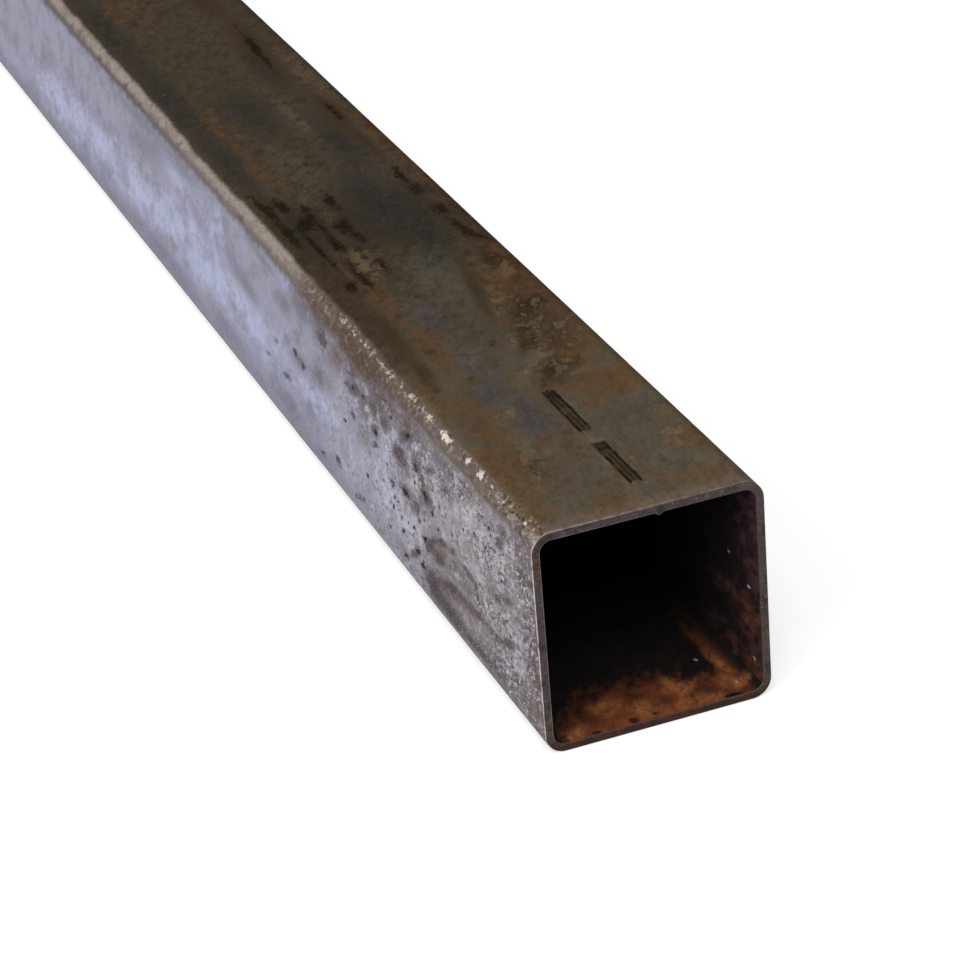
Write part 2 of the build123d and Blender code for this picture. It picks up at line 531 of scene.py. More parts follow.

# Chalky flecks on the rubbed corner, partly painted glints: x from the mouth, then how far round the
# corner.
ON_CORNER = {
    "corner_flecks": (
        (-80.5, 1.6, 3.8, 1.5), (-76.6, 1.9, 1.8, 1), (-97, 1.6, 2.4, 1.2), (-103, 1.9, 2, 0.8),
        (-112, 2.2, 3.4, 1.3), (-60, 1.7, 1.6, 1), (-49.5, 1.6, 2, 1.7), (-27.5, 1.4, 1.1, 1.1),
        (-39, 1.2, 1.2, 0.6), (-11.5, 1.6, 1.3, 0.8), (-123, 1.8, 2.2, 0.8), (-134.5, 1.7, 1.8, 1.5),
        (-145, 2, 3, 0.7), (-157, 1.7, 2.2, 1), (-165.5, 1.7, 2.2, 0.8), (-173, 1.7, 2.2, 1.1),
        (-184, 2.2, 2.6, 0.8),
    ),
}

# Rust and spots on the floor of the bore: x from the mouth, then y across it.
ON_BORE_FLOOR = {
    "floor_rust": (
        (-6, 4, 17, 15), (-4, -12, 19, 13), (-3, -24, 11, 6, 20), (-3, 26, 13, 11), (-28, 33, 24, 3.2, 5),
        (-52, 35, 18, 1.6, 3),
    ),
    "bright_rust": (
        (-14, 13, 5, 4, 20), (-6, -2, 5, 4), (-14, -13, 4, 4), (-4, -29, 3, 4, 30), (-9, 31, 3, 4),
        (-3, 16, 3, 8), (-20, 31, 7, 1.6, 8),
    ),
    "old_rust": (
        (-6, 21, 6, 4, 10), (-15, -1, 3, 3), (-24, 2, 4, 8), (-12, -22, 7, 3, 20), (-2, 29, 2, 4),
        (-24, -14, 8, 8), (-9, 6, 3, 2),
    ),
    "black_spots": (
        (-2.2, -8.3, 1.9, 1.6), (-2.8, -0.4, 1.3, 1.1), (-0.8, -21.8, 1.3, 1.8), (-0.8, 26.5, 1.6, 3.2),
    ),
    "bore_flecks": ((-27, 25.3, 1.1, 0.7), (-8.3, 31.8, 0.8, 1.5, 20)),
}

# Rust and spots on the far wall of the bore: x from the mouth, then z up it.
ON_BORE_WALL = {
    "wall_rust": ((-2, 22, 13, 18), (-1, 55, 12, 22), (-18, 10, 22, 4), (-24, 30, 12, 3, 12)),
    "wall_brown": ((-9, 26, 10, 5, 10), (-3, 7, 10, 4)),
    "bore_flecks": ((-23, 42.5, 1.1, 0.9), (-8.3, 37, 1.2, 0.9), (-6.7, 10.5, 1.2, 0.9)),
}
TOP, WORN_SIDE, CORNER, BORE_FLOOR, BORE_WALL = range(5)

# The patches of each face, and every kind of patch once.
PATCHES = {
    TOP: ON_TOP,
    WORN_SIDE: ON_WORN_SIDE,
    CORNER: ON_CORNER,
    BORE_FLOOR: ON_BORE_FLOOR,
    BORE_WALL: ON_BORE_WALL,
}
KINDS = once_each(kind for kinds in PATCHES.values() for kind in kinds)

# What a patch attribute holds far from its spots. It is 1 amid a spot and 0 on its edge.
OUTSIDE = -1.5


# --- The rolled skin ---

# The two printed marks, each from its far end to its near end, and the heads of the marks.
MARKS = ((-92.0, -58.5), (-48.5, -17.5))
MARK_HEAD = 8

# The top and its corners: where the scale of the top starts, going up.
TOP_STARTS = (70, 74)

# The stretch where the rubbed corner is rusty: from, to, and how softly it ends.
RUSTY_CORNER = (-182, -140, 8)


def rosy_brown(finish):
    """Brown with a little old rust in it, under the rubbed corner."""
    return finish.mix(0.15, "stain", "bore_maroon")


def printed_marks(finish, x, y):
    """Two rows of three worn parallel strokes, as a roller printer leaves them."""
    wander = finish.clouds.speckle.waver(0.25)
    level = y + wander
    ragged = x.plus(wander, 6.0)
    strokes = either(
        level.within(5.1, 6.3, 0.35), level.within(3.4, 4.4, 0.35) * 0.9, level.within(1.5, 2.8, 0.35)
    )
    heads = either(*(ragged.within(start, start + MARK_HEAD, 3) for start, end in MARKS))
    smudge = level.within(1.5, 6.2, 0.4) * heads.between(0.62, 0.88)
    rows = either(*(ragged.within(start, end, 0.9) for start, end in MARKS))
    return either(strokes, smudge) * rows * finish.clouds.mottle.ease(0.36, 0.48, 0.55, 0.95)


def scale_coat(finish, x, y, z):
    """Brown and olive mill scale with blooms, scabs, flakes, thin rust and two printed marks."""
    broad, patchy, mottle, speckle, grain = finish.clouds
    painted = finish.painted
    top = z.ease(*TOP_STARTS)
    elsewhere = 1.0 - top

    coat = Coat(finish, "scale_brown", roughness=0.6)
    coat.stain(patchy.ease(0.42, 0.58), "scale_olive")
    coat.stain(patchy.ease(0.5, 0.36), "scale_warm")
    # Darker away from the mouth: the scale's own colour and partly painted shade along the length.
    coat.stain(x.plus(broad, 60.0).ease(-60, -190, 0.0, 0.95), "scale_far_shade")

    bloom = either(painted("grey_bloom", soft=0.9), elsewhere * broad.ease(0.55, 0.68))
    by_mouth = x.ease(-80, -30, 0.0, 0.3)
    grey = finish.mix(by_mouth, "scale_grey", "scale_brown")
    grey = finish.mix(x.ease(-100, -150, 0.0, 0.4), grey, "scale_far_shade")
    coat.stain(bloom * mottle.ease(0.3, 0.55, 0.7, 0.95), grey, roughness=0.5)
    blue = finish.mix(0.5, "slate", "steel_dark")
    coat.stain(painted("blue_bloom", soft=0.9) * 0.75, blue)
    coat.stain(painted("slate_bloom", soft=0.8, coarse=0.5) * 0.85, "slate", roughness=0.5)
    green = finish.mix(0.5, "scale_olive", "scale_grey")
    coat.stain(painted("green_bloom", soft=0.8) * 0.6, green)

    rust = either(painted("top_rust", soft=1.0, coarse=0.6, fine=0.3), elsewhere * patchy.ease(0.58, 0.7))
    rust = rust * mottle.ease(0.3, 0.65, 0.6, 0.88) * x.ease(-330, -210, 0.6, 1.0)
    coat.stain(rust, finish.mix(by_mouth, "rust", "flake"), roughness=0.75)
    red = finish.mix(0.25, "rust", "bore_maroon")
    coat.stain(painted("red_spots", soft=0.9) * 0.5, red)

    border = y.ease(-22, -27) * x.within(-240, -125, 20)
    dark = either(
        painted("dark_scale", soft=0.7, coarse=1.0, fine=0.5),
        border * top * 0.7,
        mottle.ease(0.42, 0.32) * x.ease(-90, -220, 0.15, 0.55),
    )
    coat.stain(dark * 0.85, "scale_dark")
    flakes = painted("flakes", soft=0.6) * speckle.ease(0.34, 0.6, 0.45, 0.95)
    coat.stain(flakes * x.ease(-240, -110, 0.4, 1.0), "flake")
    coat.stain(x.within(-290, -232, 14) * 0.25, "scab")
    scabs = either(painted("scabs", soft=0.6, coarse=1.0, fine=0.5), elsewhere * patchy.ease(0.37, 0.31))
    coat.stain(scabs * 0.93, "scab", roughness=0.5, rise=0.06)

    coat.stain(printed_marks(finish, x, y) * top, "ink", roughness=0.45)
    flaky = painted("flaky", soft=0.8)
    lifted = patchy.plus(mottle, 0.6)
    coat.stain(flaky * lifted.ease(0.8, 0.9) * 0.5, "flake")
    coat.stain(flaky * abs(lifted - 0.8).ease(0.1, 0.0) * 0.5, "scab")
    # Light tan specks on the scale, partly painted glints.
    coat.stain(speckle.ease(0.64, 0.74) * mottle.ease(0.45, 0.6) * 0.5, "flake")
    # A dark strip along the +Y edge of the top: painted shade where the far corner turns away from the
    # light.
    coat.stain(y.within(38.2, 44, 0.5) * top * 0.5, "scab")
    coat.stain(x.ease(-9, -1) * top * 0.5, "rubbed_near")
    fine_tone = speckle.ease(0.3, 0.7, -0.1, 0.1)
    return coat.toned(mottle.ease(0.3, 0.7, 0.85, 1.15), grain.ease(0.28, 0.72, -0.1, 0.1), fine_tone)


def worn_coat(finish, x, z):
    """Pale steel where the scale has worn off, ticked and veined by the mouth; beyond, a lavender that is
    partly a painted reflection of cool light, with painted highlight streaks.
    """
    broad, patchy, mottle, speckle, grain = finish.clouds
    painted = finish.painted
    near = x.plus(broad, 90.0).ease(-115, -30)
    busy = x.plus(patchy, 80.0).ease(-230, -60, 0.15, 1.0)

    coat = Coat(finish, "steel_far", roughness=0.45, metal=0.3)
    coat.stain(near, "steel_near", roughness=0.55, metal=0.15)
    # Painted highlights: streaks and bands of reflected light on the worn steel.
    clear_and_highlight_colour = finish.mix(x.ease(-180, -85), "steel_highlight", "steel_clear")
    streaks = painted("bright_streaks", soft=1.1, coarse=0.8)
    coat.stain(streaks * x.ease(-130, -60, 0.9, 0.75), clear_and_highlight_colour)
    # Painted soft shadows, a darkening towards the bottom of the side, and dull patches.
    shadows_and_dull = either(
        painted("soft_shadows", soft=0.8, coarse=0.7) * x.ease(-290, -200, 0.45, 0.75),
        z.ease(17, 9, 0.0, 0.35),
        patchy.ease(0.5, 0.38) * x.ease(-330, -90, 0.2, 0.4),
    )
    coat.stain(shadows_and_dull, "steel_dark", roughness=0.6)
    coat.stain(mottle.ease(0.46, 0.7) * x.ease(-170, -90, 0.15, 0.7), clear_and_highlight_colour)
    coat.stain(x.within(-205, -112, 15) * 0.2, "steel_clear")

    coat.stain(patchy.ease(0.5, 0.6) * busy * 0.4, "scale_olive")
    rosy = rosy_brown(finish)
    coat.stain(mottle.ease(0.46, 0.32) * busy * 0.28, rosy)
    veins = abs(patchy - 0.47).ease(0.035, 0.0) * mottle.ease(0.4, 0.56) * busy * 0.7
    coat.stain(veins, "steel_dark", roughness=0.7)
    stains = either(
        painted("brown_stains", soft=0.9, coarse=0.7), x.ease(-15, -5) * patchy.ease(0.6, 0.42, 0.5, 0.85)
    )
    reddish = finish.mix(x.within(*RUSTY_CORNER), "stain", rosy)
    coat.stain(stains * mottle.ease(0.64, 0.42, 0.5, 0.95), reddish, roughness=0.7, metal=0.0)
    blotches = mottle.plus(speckle, 0.35)
    mottled = painted("mottled", soft=0.8)
    dark_colour = finish.mix(0.35, finish.mix(0.4, "steel_dark", "stain"), "pit")
    coat.stain(blotches.ease(0.67, 0.61) * mottled * 0.75, dark_colour)
    coat.stain(blotches.ease(0.7, 0.8) * mottled * 0.6, "steel_clear")
    mottles = painted("dark_mottles", soft=0.45, coarse=0.8, fine=0.7)
    coat.stain(mottles * 0.85, dark_colour, roughness=0.7)

    ticked = busy * painted("ticks", soft=1.0).ease(0, 1, 0.2, 1)
    dark_ticks = either(speckle.ease(0.46, 0.38), grain.ease(0.4, 0.34))
    coat.stain(dark_ticks * ticked, finish.mix(0.25, "steel_dark", "pit"))
    bright_ticks = either(speckle.ease(0.57, 0.64), grain.ease(0.62, 0.68))
    coat.stain(bright_ticks * ticked, "steel_clear", roughness=0.4)

    crowded = painted("crowded_pits", soft=0.7).ease(0, 1, 0.35, 1)
    small = finish.specks(3.0, 1.0, 0.6, stretch=(1.5, 1, 1), lean=LEAN) * x.ease(-260, -150)
    coat.stain(small * crowded * 0.9, "pit", roughness=0.8, metal=0.0, rise=-0.1)
    large = painted("large_pits", soft=0.6, coarse=0.3, fine=1.1) * x.ease(-330, -180, 0.4, 0.9)
    coat.stain(large, "pit", roughness=0.8, metal=0.0)
    return coat.toned(patchy.ease(0.3, 0.7, -0.09, 0.09), grain.ease(0.25, 0.75, 0.89, 1.11))


def rubbed_and_highlight_coat(finish, x, turn):
    """The corner between the top and the worn side: a crest of rubbed steel that is partly a painted
    highlight, over a browner flank.
    """
    _, patchy, mottle, speckle, grain = finish.clouds
    near = x.ease(-234, -214)
    by_mouth = x.ease(-48, -14)

    coat = Coat(finish, "flank", roughness=0.6, metal=0.1)
    coat.stain(x.within(-226, -98, 10) * mottle.ease(0.3, 0.5, 0.55, 0.95), "stain")
    rusty_brown = finish.mix(0.4, rosy_brown(finish), "rust")
    coat.stain(x.within(*RUSTY_CORNER) * 0.6, rusty_brown)
    coat.stain(x.ease(-370, -400, 0.0, 0.5), "steel_dark")

    # The crest: rubbed steel and partly a painted highlight.
    crest = (turn + mottle.waver(1.3)).plus(x.within(-188, -143, 8), -2.2).ease(-3.6, 0.6)
    crest_colour = finish.mix(near, "rubbed", "rubbed_near")
    tanned = patchy.waver(1.0).ease(-0.1, 0.5, 0.0, 0.4)
    coat.stain(crest, finish.mix(tanned, crest_colour, "stain"), roughness=0.5, metal=0.2)
    olive = x.within(-228, -98, 10) * crest * patchy.ease(0.35, 0.6, 0.45, 0.85)
    coat.stain(olive, finish.mix(0.5, "stain", "scale_olive"))
    coat.stain(x.within(-98, -26, 8) * 0.42, "stain")
    coat.stain(by_mouth * turn.ease(1.4, 3.4) * 0.75, "scale_brown")
    # A pinkish painted highlight on the crest by the mouth.
    pinkish = by_mouth * turn.within(-2.4, 1.6, 1.0) * mottle.ease(0.4, 0.6) * 0.4
    coat.stain(pinkish, "burr")
    coat.stain(mottle.ease(0.46, 0.34, 0.0, 0.45), "stain")

    gravel = (near.between(0.12, 0.55) * turn.ease(-5, 0.5, 0.4, 1.0)).plus(by_mouth, 0.4)
    # Pale specks of the gravelly crest, partly painted glints.
    pale = finish.mix(0.3, "rubbed", "glinting_fleck")
    coat.stain(speckle.ease(0.54, 0.64) * gravel * 0.8, pale)
    coat.stain(speckle.ease(0.45, 0.35) * gravel, "scale_dark")
    flecks = finish.painted("corner_flecks", soft=0.4, coarse=0.3, fine=1.2)
    coat.stain(flecks * x.ease(-106, -84, 0.45, 0.9), "glinting_fleck", roughness=0.55)
    return coat.toned(patchy.ease(0.3, 0.7, -0.08, 0.08), grain.ease(0.25, 0.75, 0.88, 1.12))


def skin_finish(colours):
    """The outside of the tube: scale on the top and bottom, worn steel on the sides."""
    finish = Finish("rolled_skin", colours)
    broad, patchy, mottle, speckle, grain = finish.clouds
    x, y, z = finish.place()
    # 7 or more on the top and the bottom, -7 or less on the sides, and between the two round
    # each corner. The loose turn wavers, so that no coat ends on a straight line.
    turn = abs(z - (HIGH.z - LOW.z) / 2 / MM) - abs(y)
    loose = (turn + patchy.waver(0.8)).plus(finish.fine_fray, x.ease(-260, -120, 0.45, 1.0))

    coat = worn_coat(finish, x, z)
    clinging = (patchy * 0.4).plus(broad, 0.4).plus(mottle, 0.2)
    far_side = y.ease(20, 30) * clinging.ease(0.43, 0.58, 0.0, 0.8)
    coat.cover(either(loose.ease(-5.2, -3.6), far_side), scale_coat(finish, x, y, z))

    # The corner between the worn side and the top takes the crest in full, as worn steel and a painted
    # highlight where that corner faces the lamps; the other corners take less.
    lit_corner_highlight = y.ease(-20, -30) * z.ease(40, 60)
    blended = loose.plus(finish.coarse_fray, 2.0) - x.ease(-125, -85, 0.0, 2.2)
    blended = blended + x.within(-182, -143, 8) * 3.5 - x.ease(-210, -250, 0.0, 1.4)
    lowered = loose.plus(x.within(-382, -312, 14), 1.2).plus(x.within(-184, -145, 8), -0.8)
    lowered = lowered.plus(x.ease(-40, -6), -1.8)
    other_corners = abs(loose).ease(1.4, 0.6) * 0.45
    band = lit_corner_highlight.between(other_corners, blended.ease(-10.0, -4.8) * lowered.ease(5.4, 2.4))
    coat.cover(band, rubbed_and_highlight_coat(finish, x, turn))

    end = finish.math("MINIMUM", abs(x), x + (HIGH - LOW).x / MM)
    coat.stain(end.ease(1.2, 0.3) * mottle.ease(0.4, 0.6) * 0.3, "burr", roughness=0.5)
    coat.height = coat.height.plus(grain, 0.03).plus(speckle, 0.04)
    return finish.wear(coat, specular=0.0)


# --- The bore and the saw cut ---


def bore_finish(colours):
    """The inside: near-black, which is dark scale and partly painted shade of the deep bore, with rust on
    the floor and one wall by the mouth.
    """
    finish = Finish("bore", colours)
    _, patchy, mottle, speckle, grain = finish.clouds
    painted = finish.painted
    x, y, _ = finish.place()
    coat = Coat(finish, "bore", roughness=0.75)
    rust = painted("floor_rust", soft=0.45, coarse=0.35, fine=0.08)
    # The floor rust fades inwards from the mouth: painted shade where less light reaches into the bore.
    rust = rust * (y + finish.coarse_fray).ease(36.0, 30.5) * x.ease(-62, -16, 0.25, 1.0)
    coat.stain(rust, "bore_rust", roughness=0.85, rise=0.1)
    old = either(painted("old_rust", soft=0.8, fine=0.1), patchy.ease(0.48, 0.38, 0.0, 0.6))
    coat.stain(old * rust * 0.75, "bore_maroon")
    fresh = painted("bright_rust", soft=0.9, fine=0.1) * speckle.ease(0.3, 0.6, 0.3, 0.9)
    coat.stain(fresh, "bore_bright")
    wall = painted("wall_rust", soft=0.9) * mottle.ease(0.38, 0.62, 0.25, 0.9)
    wall_colour = finish.mix(0.12, "bore_maroon", "steel_dark")
    coat.stain(wall, wall_colour, roughness=0.8, rise=0.06)
    coat.stain(painted("wall_brown", soft=0.9) * speckle.ease(0.35, 0.6, 0.1, 0.45), "bore_rust")
    coat.stain(painted("black_spots", soft=0.4, coarse=0.1), "bore")
    # Swarf chips in the bore, their brightness a painted glint.
    coat.stain(painted("bore_flecks", soft=0.4, coarse=0.05, fine=0.3) * 0.5, "glinting_fleck")
    coat.toned(mottle.ease(0.3, 0.7, 0.72, 1.28), grain.ease(0.3, 0.7, -0.1, 0.1))
    coat.height = coat.height.plus(mottle, 0.3).plus(speckle, 0.1)
    return finish.wear(coat, specular=0.1)


def sawn_finish(colours):
    """The cut ends: dark oxidised steel with fine saw lines and a few bright specks."""
    finish = Finish("sawn_end", colours)
    _, patchy, mottle, speckle, grain = finish.clouds
    _, _, z = finish.place()
    lines = finish.noise(0.5, detail=2.0, stretch=(1, 14, 1), shift=(4, 4, 1))
    low = z.ease(4.5, 2.4)
    coat = Coat(finish, "sawn", roughness=0.5, metal=0.3)
    coat.stain(mottle.ease(0.52, 0.36, 0.0, 0.75), "scab")
    coat.stain(patchy.ease(0.5, 0.6, 0.0, 0.3), "rust")
    coat.stain(speckle.ease(0.54, 0.68, 0.0, 0.55), "steel_dark")
    coat.stain(finish.specks(2.3, 0.35, 0.2) * 0.6, "burr")
    rusty_colour = finish.mix(0.12, "bore_maroon", "rust")
    coat.stain(low * mottle.ease(0.3, 0.55, 0.65, 1.0), rusty_colour, roughness=0.8, metal=0.0)
    coat.stain(low * mottle.ease(0.56, 0.44) * 0.8, "scab")
    coat.stain(z.within(2.3, 3.4, 0.4) * speckle.ease(0.42, 0.56) * 0.6, "bore_rust")
    coat.toned(lines.ease(0.3, 0.7, 0.75, 1.25), grain.ease(0.3, 0.7, -0.15, 0.15))
    coat.height = lines * 0.06
    return finish.wear(coat, specular=0.2)


def burr_finish(colours):
    """The broken outer and inner edges of the cut, with a painted highlight on the edges of the worn side
    and, more faintly, on the top towards that side.
    """
    finish = Finish("broken_edge", colours)
    _, y, z = finish.place()
    lit_side_highlight = either(y.ease(-36, -39), (z - y).ease(40, 110) * 0.4)
    coat = Coat(finish, "sawn", roughness=0.5, metal=0.3)
    bright = finish.clouds.mottle.ease(0.32, 0.52, 0.3, 1.0) * lit_side_highlight
    coat.stain(bright, "burr", roughness=0.4)
    coat.height = finish.clouds.speckle * 0.08
    return finish.wear(coat, specular=0.2)


# --- The rolled tube ---

# Cuts across the tube: how much of the length each stretch reaches from the mouth, and how far
# apart the cuts are within it.
STRETCHES = ((0.12, 1.5 * MM), (0.3, 3 * MM), (1.0, 7 * MM))
FLAT_PARTS = 33
ARC_PARTS = 10
TOUCH = 0.01 * MM
MIDDLE = (LOW.z + HIGH.z) / 2
SKIN, BORE, SAWN, BURR = range(4)

# The bead, in shares of its width: how far its columns of mesh reach on either side, how far
# it swells on either side and how far it wanders. Its height ripples by a share of itself.
# It ripples over BEAD_WAVE of length, and wanders over three times that.
BEAD_COLUMNS = 12
COLUMN_REACH = 0.7
BEAD_HALF = 0.6
BEAD_WANDER = 0.1
BEAD_RIPPLE = 0.15
BEAD_WAVE = 9 * MM

# Relief on the skin, in millimetres: the size of the hollows along, across and up the tube,
# the size of the knocks, and how far they reach from the middle of a corner.
HOLLOW_SIZE = (60, 30, 30)
KNOCK_SIZE = 4
KNOCK_REACH = 5

# Shares: how deep the knocks are on the corners that aren't bright, and how far out from the
# edge of its spot a pit starts.
DULL_CORNER_KNOCKS = 0.3
PIT_LIP = 0.3

# How far past the end of its arc a corner still takes the patches of a face.
CORNER_SPREAD = 1.5


def flat_face(bm, size, matrix):
    """One flat face of size either side of its middle."""
    bmesh.ops.create_grid(bm, x_segments=1, y_segments=1, size=size, matrix=matrix)


def rounded(bm, geom, offset, segments, affect):
    """Rounds corners or edges off with an even arc."""
    bmesh.ops.bevel(
        bm, geom=geom, offset=offset, segments=segments, profile=0.5, affect=affect, material=-1
    )


def rounded_square(bm, x, side, radius):
    """One upright face across the tube at x: a square with rounded corners."""
    upright = Matrix.Rotation(math.radians(90), 4, "Y")
    flat_face(bm, side / 2, Matrix.Translation((x, 0, MIDDLE)) @ upright)
    rounded(bm, bm.verts[:], radius, ARC_PARTS, "VERTICES")
    flats = [e for e in bm.edges if e.calc_length() > 2 * radius]
    bmesh.ops.subdivide_edges(bm, edges=flats, cuts=FLAT_PARTS - 1)
    bm.faces.ensure_lookup_table()
    return bm.faces[0]


def top_edges(bm):
    """The edges that lie along the top of the section."""
    return [e for e in bm.edges if all(v.co.z > HIGH.z - TOUCH for v in e.verts)]


def split_top_edges(bm, places):
    """Puts a vertex into the top row of edges at each place across the tube."""
    for y in places:
        ends = {e: sorted(v.co.y for v in e.verts) for e in top_edges(bm)}
        over = [e for e, (low, high) in ends.items() if low < y < high]
        geom = over + once_each(v for e in over for v in e.verts)
        bmesh.ops.bisect_plane(bm, geom=geom, plane_co=(0, y, 0), plane_no=(0, 1, 0))


def on_skin(point, sizes):
    """Whether a point of the wall is on its outer skin rather than on the bore."""
    flat = sizes.side / 2 - sizes.wall - sizes.inside_radius
    over_y = max(0.0, abs(point.y) - flat)
    over_z = max(0.0, abs(point.z - MIDDLE) - flat)
    return math.hypot(over_y, over_z) > sizes.inside_radius + sizes.wall / 2


def faces_at(point, sizes):
    """The painted faces that a point is on, and its place on each in millimetres."""
    x, y, z = (point.x - HIGH.x) / MM, point.y / MM, (point.z - LOW.z) / MM
    side = sizes.side / MM
    corner = CORNER_SPREAD * (sizes.inside_radius + sizes.wall) / MM
    turn = abs(z - side / 2) - abs(y)
    if on_skin(point, sizes):
        if abs(turn) < corner and y < 0 and z > side / 2:
            yield CORNER, (x, turn)
        if z > side - corner:
            yield TOP, (x, y)
        if y < corner - side / 2:
            yield WORN_SIDE, (x, z)
    else:
        if z < side / 2 and turn > -1.0:
            yield BORE_FLOOR, (x, y)
        if y > 0 and turn < -1.0:
            yield BORE_WALL, (x, z)


def paint_spot(placed, layer, spot):
    """Raises a layer to 1 in the middle of a spot, falling to 0 on its edge and on outwards."""
    across, along = math.sin(math.radians(spot.turn)), math.cos(math.radians(spot.turn))
    far = (1 - OUTSIDE) * max(spot.long, spot.wide)
    for vert, (x, y) in placed:
        off_x, off_y = x - spot.x, y - spot.across
        if abs(off_x) > far or abs(off_y) > far:
            continue
        u = (off_x * along + off_y * across) / spot.long
        v = (off_y * along - off_x * across) / spot.wide
        vert[layer] = max(vert[layer], 1 - math.hypot(u, v))


def link_mesh(context, name, bm, materials):
    """A new object at the origin with a bmesh as its mesh."""
    mesh = bpy.data.meshes.new(name)
    bm.to_mesh(mesh)
    bm.free()
    for material in materials:
        mesh.materials.append(material)
    item = bpy.data.objects.new(name, mesh)
    context.collection.objects.link(item)
    return item


class TUBE_OT_rolled_tube(bpy.types.Operator):
    """Models the rolled tube with its rounded section, inside weld bead and sawn ends"""

    bl_idname = "tube.rolled_tube"
    bl_label = "Rolled Tube"
    bl_options = {"REGISTER", "UNDO"}

    def execute(self, context):
        sizes = context.scene.tube_sizes
        bm = bmesh.new()
        self.roll_section(bm, sizes)
        self.draw_length(bm, sizes)
        self.break_edges(bm, sizes)
        self.ready_pits(bm)
        bmesh.ops.recalc_face_normals(bm, faces=bm.faces[:])
        bm.normal_update()
        self.paint_patches(bm, sizes)
        self.hang_bead(bm, sizes)
        self.settle_skin(bm, sizes)
        self.sort_finishes(bm, sizes)

        colours = context.scene.tube_colours
        finishes = [make(colours) for make in (skin_finish, bore_finish, sawn_finish, burr_finish)]
        piece = link_mesh(context, "rolled_tube", bm, finishes)
        piece.data.shade_smooth()
        piece.data.set_sharp_from_angle(angle=math.radians(50))
        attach(piece, "root")
        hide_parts(NODE)
        return {"FINISHED"}

    def roll_section(self, bm, sizes):
        """The sawn face at the mouth, with room in its top wall for the weld bead."""
        face = rounded_square(bm, HIGH.x, sizes.side, sizes.inside_radius + sizes.wall)
        reach = COLUMN_REACH * sizes.bead_width
        steps = [2 * i / BEAD_COLUMNS - 1 for i in range(BEAD_COLUMNS + 1)]
        split_top_edges(bm, [sizes.seam_offset + reach * step for step in steps])
        bmesh.ops.inset_individual(bm, faces=[face], thickness=sizes.wall, use_even_offset=True)
        bmesh.ops.delete(bm, geom=[face], context="FACES_ONLY")

    def draw_length(self, bm, sizes):
        """Draws the sawn face out to the tube's length, cut into shorter and longer steps."""
        front = bm.faces[:]
        start = 0.0
        for share, step in STRETCHES:
            end = share * sizes.length
            drawn = bmesh.ops.extrude_face_region(bm, geom=front)["geom"]
            if start > 0:
                bmesh.ops.delete(bm, geom=front, context="FACES")
            front = [g for g in drawn if isinstance(g, bmesh.types.BMFace)]
            moved = [g for g in drawn if isinstance(g, bmesh.types.BMVert)]
            bmesh.ops.translate(bm, verts=moved, vec=(start - end, 0, 0))
            long_edges = [e for e in bm.edges if abs(e.calc_length() - (end - start)) < TOUCH]
            cuts = round((end - start) / step) - 1
            bmesh.ops.subdivide_edges(bm, edges=long_edges, cuts=cuts)
            start = end

    def break_edges(self, bm, sizes):
        """Takes the burr off the outer and inner edges of both cuts."""
        bm.normal_update()
        at_cuts = [e for e in bm.edges if abs(abs(e.verts[0].co.x) - HIGH.x) < TOUCH]
        edges = [e for e in at_cuts if sum(abs(f.normal.x) > 0.5 for f in e.link_faces) == 1]
        rounded(bm, edges, sizes.edge_break, 2, "EDGES")

    def ready_pits(self, bm):
        """Gives the large pits of the worn side a finer mesh, which they are sunk into later."""
        for spot in (Spot(*row) for row in ON_WORN_SIDE["large_pits"]):
            centre = Vector((HIGH.x + spot.x * MM, LOW.y, LOW.z + spot.across * MM))
            reach = (spot.long + 0.8) * MM
            near = [f for f in bm.faces if (f.calc_center_median() - centre).length < reach]
            edges = once_each(e for f in near for e in f.edges)
            bmesh.ops.subdivide_edges(bm, edges=edges, cuts=2, use_grid_fill=True)

    def paint_patches(self, bm, sizes):
        """Paints each kind of patch as an attribute: 1 amid a spot, 0 on its edge, less outside."""
        layers = {kind: bm.verts.layers.float.new(kind) for kind in KINDS}
        placed = {face: [] for face in PATCHES}
        for vert in bm.verts:
            for layer in layers.values():
                vert[layer] = OUTSIDE
            for face, place in faces_at(vert.co, sizes):
                placed[face].append((vert, place))
        for face, kinds in PATCHES.items():
            for kind, rows in kinds.items():
                for row in rows:
                    paint_spot(placed[face], layers[kind], Spot(*row))

    def hang_bead(self, bm, sizes):
        """Hangs the weld bead from the inside of the top wall, with a slight wander."""
        ceiling = HIGH.z - sizes.wall
        for vert in bm.verts:
            if not -TOUCH < vert.co.z - ceiling < 1.1 * sizes.edge_break:
                continue
            along = vert.co.x / BEAD_WAVE
            wander = BEAD_WANDER * sizes.bead_width * noise.noise((along / 3, 4, 0))
            off = abs(vert.co.y - sizes.seam_offset - wander) / (BEAD_HALF * sizes.bead_width)
            if off < 1:
                ripple = 1 + BEAD_RIPPLE * noise.noise((along, 0, 0))
                vert.co.z -= sizes.bead_height * ripple * (1 + math.cos(math.pi * off)) / 2

